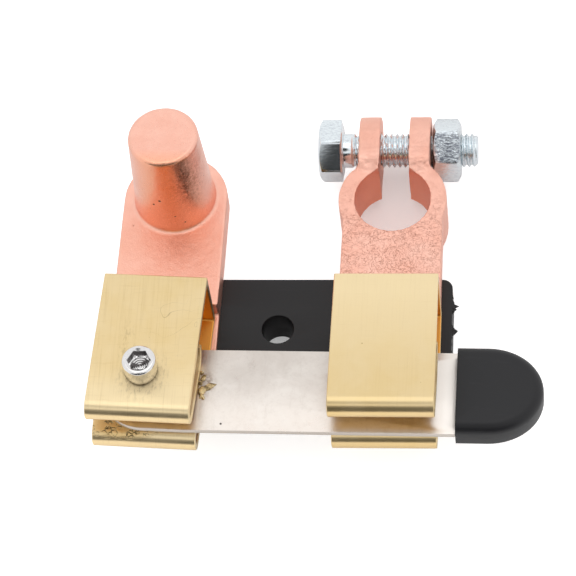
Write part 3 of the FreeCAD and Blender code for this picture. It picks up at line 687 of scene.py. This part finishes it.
def hinge_screw():
    """The pivot: a socket screw with a rounded head rim and a drilled, swirled socket floor."""
    angles = hex_angles(0.0)
    wall = [hex_radius(SOCKET_FLATS, 0.0, angle) for angle in angles]

    def ring(heights, radii):
        return [Vector((PIVOT_X + r * math.cos(a), PIVOT_Y + r * math.sin(a), z)) * MM
                for a, r, z in zip(angles, radii, heights)]

    def level(height, radius):
        return ring([height] * len(angles), [radius] * len(angles))

    rings = [level(SCREW_LOW, SCREW_END)]
    steps = int((THREAD_TOP - SCREW_LOW) / SCREW_PITCH * RINGS_PER_TURN)
    for n in range(1, steps + 1):
        height = SCREW_LOW + (THREAD_TOP - SCREW_LOW) * n / steps
        crest = min(SCREW_RADIUS, SCREW_END + 0.1 + (height - SCREW_LOW))
        radii = [min(crest, thread_radius(height, angle, SCREW_RADIUS, SCREW_DEPTH, SCREW_PITCH))
                 for angle in angles]
        rings.append(ring([height] * len(angles), radii))
    rings += [level(THREAD_TOP + 0.3, SCREW_RADIUS), level(JAW_TOP, SCREW_RADIUS),
              level(JAW_TOP, SCREW_HEAD - 0.20), level(JAW_TOP + 0.08, SCREW_HEAD - 0.07),
              level(JAW_TOP + 0.25, SCREW_HEAD)]
    for n in range(7):
        turn = math.pi / 2 * n / 6
        rings.append(level(SCREW_TOP - SCREW_RIM + SCREW_RIM * math.sin(turn),
                           SCREW_HEAD - SCREW_RIM + SCREW_RIM * math.cos(turn)))
    floor = SCREW_TOP - SOCKET_DEPTH
    rings += [level(SCREW_TOP, SOCKET_MOUTH + 0.08), level(SCREW_TOP - 0.05, SOCKET_MOUTH),
              ring([SCREW_TOP - 0.12 - (SOCKET_MOUTH - r) * 0.5 for r in wall], wall),
              ring([floor + 0.1] * len(angles), wall), level(floor, SOCKET_FLOOR)]
    for n in range(SWIRLS):
        ridge = 0.07 if n % 2 else -0.03
        rings.append(level(floor - 0.1 - 0.075 * n + ridge, 2.0 - 0.22 * n))
    stand_in("hinge_screw_turned", skin(rings), "hinge_screw", SCREW_SMOOTH_ANGLE)


# the jaws

STRIP = 1.5
STRIP_EDGE = 0.16
STRIP_COLUMNS = 24
JAW_FLOOR = 11.2
JAW_HEIGHT = 17.4
JAW_WIDTH = 23.0
JAW_BEND = 2.0
JAW_CORNER = 0.4
LIP_FLAT, LIP_CURL, LIP_ANGLE = 11.5, 5.0, 62.0
BLADE_GAP = 0.06
JAWS = {
    "contact_jaw": {"depth": 35.7, "splay": 4.6, "nose": 3.0, "spot": (25.5, 3.1), "turn": 0.0},
    "hinge_jaw": {"depth": 35.3, "splay": 0.0, "nose": 2.8, "spot": (-25.6, 2.5), "turn": -2.8},
}
FIXING_BACK = 7.5
FIXING_BORE = 2.6
PIVOT_BORE = 2.58
BEND_STEP = 4.5
FLAT_STEP = 1.5


def lip_moves(middle, depth, splay, radius):
    """Half of a jaw from the blade outwards: straight lengths, and bends by radius and angle."""
    rise, run = math.sin(math.radians(splay)), math.cos(math.radians(splay))
    bend, nose = JAW_BEND - STRIP / 2, radius - STRIP / 2
    curl, flat = LIP_CURL + STRIP / 2, LIP_FLAT
    leaf = (depth - radius - STRIP / 2 - bend + (bend - nose) * rise) / run
    centre = middle - JAW_BEND + bend * run + leaf * rise - nose * run
    lowest = BLADE_THICK / 2 + BLADE_GAP + STRIP / 2
    slope = math.degrees(math.acos((lowest + curl - centre) / math.hypot(curl - nose, flat))
                         - math.atan2(flat, curl - nose))
    return [(curl, LIP_ANGLE + slope), (flat, 0), (nose, 180 + splay - slope),
            (leaf, 0), (bend, 90 - splay)]


def inward(heading):
    """The side to which a bent line's bends turn."""
    return Vector((-math.sin(heading), math.cos(heading)))


def walk(moves, start, heading):
    """Points of a bent line with their headings and moves, and the points where the moves end."""
    point, angle = Vector(start), math.radians(heading)
    line, ends = [(point.copy(), angle, 0)], []
    for number, (length, bend) in enumerate(moves):
        if bend:
            pieces = max(int(abs(bend) / BEND_STEP), 2)
            middle = point + inward(angle) * length
            for _ in range(pieces):
                angle += math.radians(bend) / pieces
                point = middle - inward(angle) * length
                line.append((point.copy(), angle, number))
        else:
            pieces = max(int(length / FLAT_STEP), 1)
            for _ in range(pieces):
                point = point + Vector((math.cos(angle), math.sin(angle))) * length / pieces
                line.append((point.copy(), angle, number))
        ends.append(point.copy())
    return line, ends


def corner(point, angle, first, last):
    """The outer point of a rear bend between two headings, drawn out to a near-sharp corner."""
    middle = point + inward(angle) * (JAW_BEND - STRIP / 2)
    spread = (inward(first) + inward(last)) / (1 + inward(first) @ inward(last))
    return middle - spread * (JAW_BEND - JAW_CORNER) - inward(angle) * JAW_CORNER


def jaw_line(plan):
    """The jaw's middle line, and the drawn-out outer points of its two rear bends."""
    lower = lip_moves(JAW_HEIGHT / 2, plan["depth"], 0, plan["nose"])
    upper = lip_moves(JAW_HEIGHT / 2, plan["depth"], plan["splay"], plan["nose"])[::-1]
    moves = lower + [(JAW_HEIGHT - 2 * JAW_BEND, 0)] + upper
    heading = 90 - sum(turned for _, turned in lower)
    ends = walk(moves, (0, 0), heading)[1]
    start = Vector((-STRIP / 2, JAW_BEND)) - ends[len(lower) - 1]
    line = walk(moves, start, heading)[0]
    splay = math.radians(plan["splay"])
    bends = {len(lower) - 1: (0.0, math.pi / 2), len(lower) + 1: (math.pi / 2, math.pi - splay)}
    outer = []
    for n, (point, angle, number) in enumerate(line):
        ahead = line[min(n + 1, len(line) - 1)][2]
        bend = bends.get(number) or bends.get(ahead)
        outer.append(corner(point, angle, *bend) if bend else None)
    return line, outer


def jaw(node):
    """One brass strip, bent to a tall C with both ends folded back as spring leaves."""
    plan = JAWS[node]
    line, outer = jaw_line(plan)
    turn = Matrix.Rotation(math.radians(plan["turn"]), 3, "Z")
    base = Vector((*plan["spot"], JAW_FLOOR))
    half = JAW_WIDTH / 2
    columns = [(-half, STRIP_EDGE), (-half + STRIP_EDGE, 0.0)]
    columns += [(-half + JAW_WIDTH * n / STRIP_COLUMNS, 0.0) for n in range(1, STRIP_COLUMNS)]
    columns += [(half - STRIP_EDGE, 0.0), (half, STRIP_EDGE)]
    form = bmesh.new()
    grid = []
    for across, inset in columns:
        sides = []
        for side in (STRIP / 2 - inset, inset - STRIP / 2):
            row = []
            for (point, angle, _), drawn in zip(line, outer):
                place = Vector((point.x - side * math.sin(angle),
                                point.y + side * math.cos(angle)))
                if side < 0 and drawn:
                    place = drawn + inward(angle) * inset
                row.append(form.verts.new((base + turn @ Vector((across, *place))) * MM))
            sides.append(row)
        grid.append(sides)
    last = len(line) - 1
    for first, second in zip(grid, grid[1:]):
        for n in range(last):
            form.faces.new((first[0][n], first[0][n + 1], second[0][n + 1], second[0][n]))
            form.faces.new((first[1][n + 1], first[1][n], second[1][n], second[1][n + 1]))
        form.faces.new((first[0][0], second[0][0], second[1][0], first[1][0]))
        form.faces.new((first[0][last], first[1][last], second[1][last], second[0][last]))
    for sides in (grid[0], grid[-1]):
        for n in range(last):
            form.faces.new((sides[0][n], sides[1][n], sides[1][n + 1], sides[0][n + 1]))
    bmesh.ops.recalc_face_normals(form, faces=form.faces)
    piece = new_object(node + "_bent", form)
    fixing = base + turn @ Vector((0, -FIXING_BACK, 0))
    cut_away(piece, rod((fixing.x, fixing.y, JAW_FLOOR - 1), FIXING_BORE, 4))
    if node == "hinge_jaw":
        cut_away(piece, rod((PIVOT_X, PIVOT_Y, JAW_FLOOR - 1), PIVOT_BORE, 22))
    stand_in(piece.name, piece, node)


# the blade and its handle

BLADE_TURN = -0.7
BLADE_WIDTH = 19.9
BLADE_FRONT = 0.32
BLADE_LOW_ROUND = 0.3
BLADE_TOP_ROUND = 0.07
BLADE_STEPS, BLADE_ROUND_STEPS = 24, 96
HANDLE_START = 68.2
HANDLE_STRAIGHT = 6.8
HANDLE_END = 12.05
HANDLE_WIDTH = 21.2
HANDLE_THICK = 7.2
HANDLE_TOP_ROUND = 2.4
HANDLE_LOW_ROUND = 1.2
HANDLE_MOUTH_ROUND = 0.25
HANDLE_CREASE = 55.0
PADDLE_SIDE, PADDLE_END = 9, 32
SLOT_PLAY = 0.02
TANG = 9.9


def on_blade(x, y, z):
    """A point given along the blade from the pivot, in the frame."""
    turn = Matrix.Rotation(math.radians(BLADE_TURN), 3, "Z")
    return (Vector((PIVOT_X, PIVOT_Y, BLADE_MIDDLE)) + turn @ Vector((x, y, z))) * MM


def paddle_ring(inset, height):
    """A level outline of the handle: square at its start, straight sides and a half-oval end."""
    start, straight = HANDLE_START, HANDLE_START + HANDLE_STRAIGHT
    radius, reach = HANDLE_WIDTH / 2 - inset, HANDLE_END - inset
    points = [(start + (straight - start) * n / PADDLE_SIDE, -radius) for n in range(PADDLE_SIDE)]
    for n in range(PADDLE_END + 1):
        angle = -math.pi / 2 + math.pi * n / PADDLE_END
        points.append((straight + reach * math.cos(angle), radius * math.sin(angle)))
    points += [(straight + (start - straight) * n / PADDLE_SIDE, radius)
               for n in range(1, PADDLE_SIDE + 1)]
    return [on_blade(x, y, height) for x, y in points]


def handle_grip():
    """The moulded handle, rounded over its upper face, with the slot that holds the blade."""
    rise = HANDLE_THICK / 2
    rings = []
    for n in range(5):
        turn = math.pi / 2 * n / 4
        rings.append(paddle_ring(HANDLE_LOW_ROUND * (1 - math.sin(turn)),
                                 -rise + HANDLE_LOW_ROUND * (1 - math.cos(turn))))
    for n in range(9):
        turn = math.pi / 2 * n / 8
        rings.append(paddle_ring(HANDLE_TOP_ROUND * (1 - math.cos(turn)),
                                 rise - HANDLE_TOP_ROUND * (1 - math.sin(turn))))
    piece = new_object("handle_moulded", soften(skin(rings), HANDLE_MOUTH_ROUND, HANDLE_CREASE))
    slot = bmesh.new()
    bmesh.ops.create_cube(slot, size=1.0)
    for vert in slot.verts:
        x, y, z = vert.co
        vert.co = on_blade(HANDLE_START + TANG / 2 - 1 + x * (TANG + 2),
                           y * (BLADE_WIDTH + SLOT_PLAY), z * (BLADE_THICK + SLOT_PLAY))
    cut_away(piece, slot)
    stand_in(piece.name, piece, "handle_grip")


def switch_blade():
    """The blade, with its edges worn round."""
    radius, half = BLADE_WIDTH / 2, BLADE_THICK / 2
    reach = HANDLE_START + TANG
    low, top = BLADE_LOW_ROUND, BLADE_TOP_ROUND
    rings = []
    for inset, height in ((low, -half), (low * 0.3, -half + low * 0.3), (0, -half + low),
                          (0, half - top), (top * 0.3, half - top * 0.3), (top, half)):
        side = radius - inset
        ring = []
        for n in range(BLADE_ROUND_STEPS + 1):
            angle = math.pi / 2 + math.pi * n / BLADE_ROUND_STEPS
            ring.append((side * math.cos(angle), side * math.sin(angle)))
        # the front side stands out up to the handle
        for n in range(1, BLADE_STEPS + 1):
            along = (HANDLE_START - 0.1) * n / BLADE_STEPS
            ring.append((along, -side - BLADE_FRONT * min(n / 3, 1.0)))
        ring += [(HANDLE_START - 0.05, -side), (reach - inset, -side)]
        ring += [((reach - inset) * n / BLADE_STEPS, side) for n in range(BLADE_STEPS, 0, -1)]
        rings.append([on_blade(x, y, height) for x, y in ring])
    piece = new_object("switch_blade_worn", skin(rings))
    cut_away(piece, rod((PIVOT_X, PIVOT_Y, BLADE_MIDDLE - 2), PIVOT_BORE, 4))
    stand_in(piece.name, piece, "switch_blade")


# middle, size, reach of the point and its heading
FLAKES = ((-14.3, -22.3, 1.1, 2.4, 30.0), (-14.5, -19.6, 0.7, 0.6, 60.0),
          (-14.8, -18.0, 0.5, 0.0, 0.0), (-14.5, -23.9, 0.7, 0.5, -40.0),
          (-14.9, -22.9, 0.6, 0.0, 0.0), (-14.9, -20.6, 0.6, 0.0, 0.0))
# heights over the blade with shares of the size
FLAKE_LAYERS = ((0.02, 0.9), (0.08, 1.0), (0.22, 0.5))
FLAKE_POINTS = 14
FLAKE_LIFT = 0.12
FLAKE_SMOOTH_ANGLE = 20.0
FLAKE_SEED = 7


def brass_flakes():
    """Scraped brass that lies on the blade beside the hinge jaw."""
    chance = random.Random(FLAKE_SEED)
    form = bmesh.new()
    for x, y, size, point, heading in FLAKES:
        rings = []
        for height, scale in FLAKE_LAYERS:
            ring = []
            for n in range(FLAKE_POINTS):
                angle = math.tau * n / FLAKE_POINTS
                reach = size * scale * (0.6 + 0.5 * chance.random())
                reach += point * max(math.cos(angle - math.radians(heading)), 0.0) ** 8
                lift = height + FLAKE_LIFT * chance.random() * (height > 0.05)
                ring.append(Vector((x + reach * math.cos(angle), y + reach * math.sin(angle),
                                    BLADE_TOP + lift)) * MM)
            rings.append(ring)
        add_skin(form, rings, rise=FLAKE_LIFT)
    bmesh.ops.recalc_face_normals(form, faces=form.faces)
    dress(new_object("brass_flakes", form), "blade", "jaw_brass", FLAKE_SMOOTH_ANGLE)


# castings

CAST_PASSES = 2
CAST_SMOOTH_ANGLE = 60.0
CLAMP_VOXEL, POST_VOXEL = 0.28, 0.30
LUG_MIDDLES = (19.35, 31.05)
LUG_HALF = 2.5
LUG_EDGE = 0.7
LUG_FLOOR = 12.0
LUG_END = 38.7
LUG_SLOPE = 4.4
LUG_RADIUS = 7.9
RING_TOP, LUG_TOP = 15.4, 16.95
LUMPS_FROM, LUMPS_TO, LUMPS_FLOOR = 38.6, 42.2, 14.0
LUMPS_SHIFT = Vector((7, 3, 1))


def cast_form(node, voxel, relief):
    """A node's solid with worn edges and an uneven skin, sunk by a relief in millimetres."""
    form = bmesh.new()
    form.from_mesh(NODES[node].data)
    piece = new_object("blank", form)
    modifier = piece.modifiers.new("voxels", "REMESH")
    modifier.mode = "VOXEL"
    modifier.voxel_size = voxel * MM
    applied(piece, modifier)
    form = bmesh.new()
    form.from_mesh(piece.data)
    bpy.data.objects.remove(piece)
    for _ in range(CAST_PASSES):
        bmesh.ops.smooth_vert(form, verts=form.verts, factor=0.5,
                              use_axis_x=True, use_axis_y=True, use_axis_z=True)
    if node == "clamp_terminal":
        for vert in form.verts:
            vert.co.z = lug_height(vert.co / MM) * MM
    form.normal_update()
    moved = [(vert, vert.co - vert.normal * relief(vert.co / MM) * MM) for vert in form.verts]
    for vert, place in moved:
        vert.co = place
    return form


def grain(place, size):
    """Noise from nought to one with grains of a size in millimetres."""
    return 0.5 + 0.5 * noise.noise(place / size)


def lug_height(place):
    """Where a point's height goes, so that the lugs' tops run flat to the ring, then slope."""
    if place.z < LUG_FLOOR or not LUG_END < place.y < BOLT_Y:
        return place.z
    beside = min(abs(place.x - middle) for middle in LUG_MIDDLES) - LUG_HALF
    share = min(max(1.0 - beside / LUG_EDGE, 0.0), 1.0)
    round_top = BOLT_Z + math.sqrt(max(LUG_RADIUS ** 2 - (place.y - BOLT_Y) ** 2, 0.0))
    old = max(round_top, RING_TOP)
    rise = min((place.y - LUG_END) / LUG_SLOPE, 1.0)
    wanted = RING_TOP + (LUG_TOP - RING_TOP) * math.sin(rise * math.pi / 2)
    grown = LUG_FLOOR + (place.z - LUG_FLOOR) * (max(wanted, old) - LUG_FLOOR) / (old - LUG_FLOOR)
    return place.z + (grown - place.z) * share


def clamp_relief(place):
    """How deep the clamp's skin lies: uneven, and lumpy where the lugs leave the ring."""
    depth = 0.08 * grain(place, 2.6) + 0.04 * grain(place, 0.9)
    if LUMPS_FROM < place.y < LUMPS_TO and place.z > LUMPS_FLOOR:
        share = min((place.y - LUMPS_FROM) / 1.2, (LUMPS_TO - place.y) / 1.8, 1.0)
        depth += share * 0.36 * grain(place + LUMPS_SHIFT, 0.75)
    return max(depth, 0.0)


def post_relief(place):
    """How deep the post's skin lies."""
    return 0.06 * grain(place, 3.2) + 0.03 * grain(place, 0.9)


# the plate and the small fastenings

# burrs along the plate's right end: middle across the plate, half width, reach and lift
BURRS = ((6.1, 1.1, 1.5, 0.7), (4.9, 0.5, 0.6, 0.4), (7.4, 0.6, 0.6, 0.3), (8.6, 0.5, 0.35, 0.3),
         (-0.1, 1.2, 1.35, 0.6), (1.2, 0.4, 0.4, 0.3), (-1.9, 0.4, 0.35, 0.3),
         (-3.6, 0.5, 0.3, 0.3), (-5.6, 0.5, 0.35, 0.3))
BURR_COLUMNS = 9
BURR_ROOT, BURR_FOOT = 39.0, 39.2
BURR_HEIGHT = 9.15
BURR_SMOOTH_ANGLE = 25.0
BURR_SEED = 3
# the plate's right end is worn back a little
PLATE_END_FROM = 36.5
PLATE_END_WEAR = 0.22
FLAT_ANGLE = 0.4
EDGE_WIDTHS = {
    "base_plate": 0.40, "hinge_washer": 0.1, "hinge_nut": 0.25, "hinge_jaw_screw": 0.1,
    "hinge_jaw_nut": 0.2, "contact_jaw_screw": 0.1, "contact_jaw_nut": 0.2,
}


def plate_burrs():
    """Ragged flash left on the plate's right end."""
    chance = random.Random(BURR_SEED)
    form = bmesh.new()
    for y, half, reach, lift in BURRS:
        rows = []
        for n in range(BURR_COLUMNS):
            across = y - half + 2 * half * n / (BURR_COLUMNS - 1)
            crown = math.sin(math.pi * n / (BURR_COLUMNS - 1)) ** 0.7
            out = reach * crown * (0.55 + 0.6 * chance.random()) + 0.02
            top = BURR_HEIGHT + 0.2 * chance.random() * crown
            outline = ((BURR_ROOT, top), (BURR_FOOT + out * 0.6, top - 0.05),
                       (BURR_FOOT + out, top - 0.35), (BURR_FOOT + out * 0.5, top - 0.35 - lift),
                       (BURR_ROOT, top - 0.5 - lift))
            rows.append([form.verts.new(Vector((x, across, z)) * MM) for x, z in outline])
        for first, second in zip(rows, rows[1:]):
            for n in range(5):
                form.faces.new((first[n], second[n], second[(n + 1) % 5], first[(n + 1) % 5]))
        form.faces.new(rows[0])
        form.faces.new(rows[-1][::-1])
    bmesh.ops.recalc_face_normals(form, faces=form.faces)
    dress(new_object("plate_burrs", form), "base", "plate_plastic", BURR_SMOOTH_ANGLE)


def worn_node(node, width):
    """A node's solid with its edges rounded."""
    form = bmesh.new()
    form.from_mesh(NODES[node].data)
    bmesh.ops.remove_doubles(form, verts=form.verts, dist=1e-6)
    bmesh.ops.dissolve_limit(form, angle_limit=math.radians(FLAT_ANGLE), verts=form.verts,
                             edges=form.edges)
    for vert in form.verts:
        if vert.co.x > PLATE_END_FROM * MM:
            vert.co.x -= PLATE_END_WEAR * MM
    stand_in(node + "_worn", soften(form, width), node)


def pieces():
    """Every piece of the switch."""
    for node, width in EDGE_WIDTHS.items():
        worn_node(node, width)
    stand_in("clamp_cast", cast_form("clamp_terminal", CLAMP_VOXEL, clamp_relief),
             "clamp_terminal", CAST_SMOOTH_ANGLE)
    stand_in("post_cast", cast_form("post_terminal", POST_VOXEL, post_relief),
             "post_terminal", CAST_SMOOTH_ANGLE)
    for node in JAWS:
        jaw(node)
    switch_blade()
    brass_flakes()
    handle_grip()
    plate_burrs()
    hinge_screw()
    clamp_bolt()
    clamp_nut()


# the studio, in metres

DARK_LEVEL = 0.04
BRIGHT_LEVEL = 1.0
HOLDER = (-0.03, -0.44, 0.897)
FLOOR_SIDE = 0.6
FLOOR_FRONT = -0.13
TABLE_FRONT = (0.92, 0.92, 0.92)
TABLE_BACK_SHADE = (0.78, 0.77, 0.77)
TABLE_ROUGH = 0.8
# where the table's tone and glow change from front to back, in millimetres: painted light and
# shade, paler and brighter in front, darker behind
TABLE_CHANGE = (-45, 5)
TABLE_GLOWS = (0.28, 0.16)
TABLE_CAMERA_GLOW = 0.66
INSIDE_GLOW = 0.44
LAMP_SIZE = 0.6
LAMP_POWER = 0.6
LAMP_PLACE = (0.0, 0.1, 0.9)


def room():
    """A white room that is dark low down in front, and where the camera and its holder stand."""
    world = bpy.data.worlds.new("studio")
    world.use_nodes = True
    bpy.context.scene.world = world
    make = Kit(world.node_tree)
    heading = make.nodes.new("ShaderNodeTexCoord").outputs["Generated"]
    levels = (DARK_LEVEL, BRIGHT_LEVEL)
    high = make.along(heading, 1.0, {"Z": (0.57, 0.65, *levels)})
    beside = make.along(heading, 1.0, {"Y": (-0.82, -0.66, *levels)})
    holder = make.levels(make.distance(heading, HOLDER), 0.16, 0.26, *levels)
    light = make.maths("MINIMUM", make.most(high, beside), holder)
    background = make.nodes["Background"]
    make.join(make.most(light, make.camera_ray()), background.inputs["Strength"])
    background.inputs["Color"].default_value = (1, 1, 1, 1)


def white_table():
    """A white table that glows for the camera, and keeps its own tone where holes show it."""
    floor = bpy.data.meshes.new("table")
    floor.from_pydata([(-FLOOR_SIDE, FLOOR_FRONT, 0), (FLOOR_SIDE, FLOOR_FRONT, 0),
                       (FLOOR_SIDE, FLOOR_SIDE, 0), (-FLOOR_SIDE, FLOOR_SIDE, 0)],
                      [], [(0, 1, 2, 3)])
    table = linked("table", floor)
    make = Shader("table_white", specular=0.2)
    make.surface.inputs["Roughness"].default_value = TABLE_ROUGH
    # painted shade: the table is painted darker towards the back
    make.finish(make.mix(make.within(Y=TABLE_CHANGE), TABLE_FRONT, TABLE_BACK_SHADE))
    # seen through the clamp's bore, its slit and the plate's hole
    inside = make.most(make.levels(make.near((RING_X, 37.0, 0), 11.0), 0.0, 0.15),
                       make.times(make.within(X=(20.5, 21.5), Y=(30, 31)),
                                  make.within(X=(29.9, 28.9), Y=(60, 52))),
                       make.levels(make.near((0, 2.5, 0), 5.0), 0.0, 0.2))
    shown = make.times(make.camera_ray(), TABLE_CAMERA_GLOW)
    # painted light: besides the glow that makes it white for the camera, the table glows more in
    # front than behind
    strength = make.times(make.levels(inside, 0.0, 1.0, 1.0, INSIDE_GLOW),
                          make.most(shown, make.within(Y=(*TABLE_CHANGE, *TABLE_GLOWS))))
    glow = make.node("Emission", {"Strength": strength})
    both = make.node("AddShader", {0: make.surface.outputs[0], 1: glow.outputs[0]})
    make.join(both.outputs[0], make.nodes["Material Output"].inputs["Surface"])
    floor.materials.append(make.material)


def lamp():
    """One soft square lamp overhead."""
    data = bpy.data.lights.new("overhead", "AREA")
    data.shape = "SQUARE"
    data.size = LAMP_SIZE
    data.energy = LAMP_POWER
    linked("overhead", data).location = LAMP_PLACE


bpy.context.scene.view_settings.view_transform = "Standard"
place_camera()
room()
white_table()
lamp()
pieces()
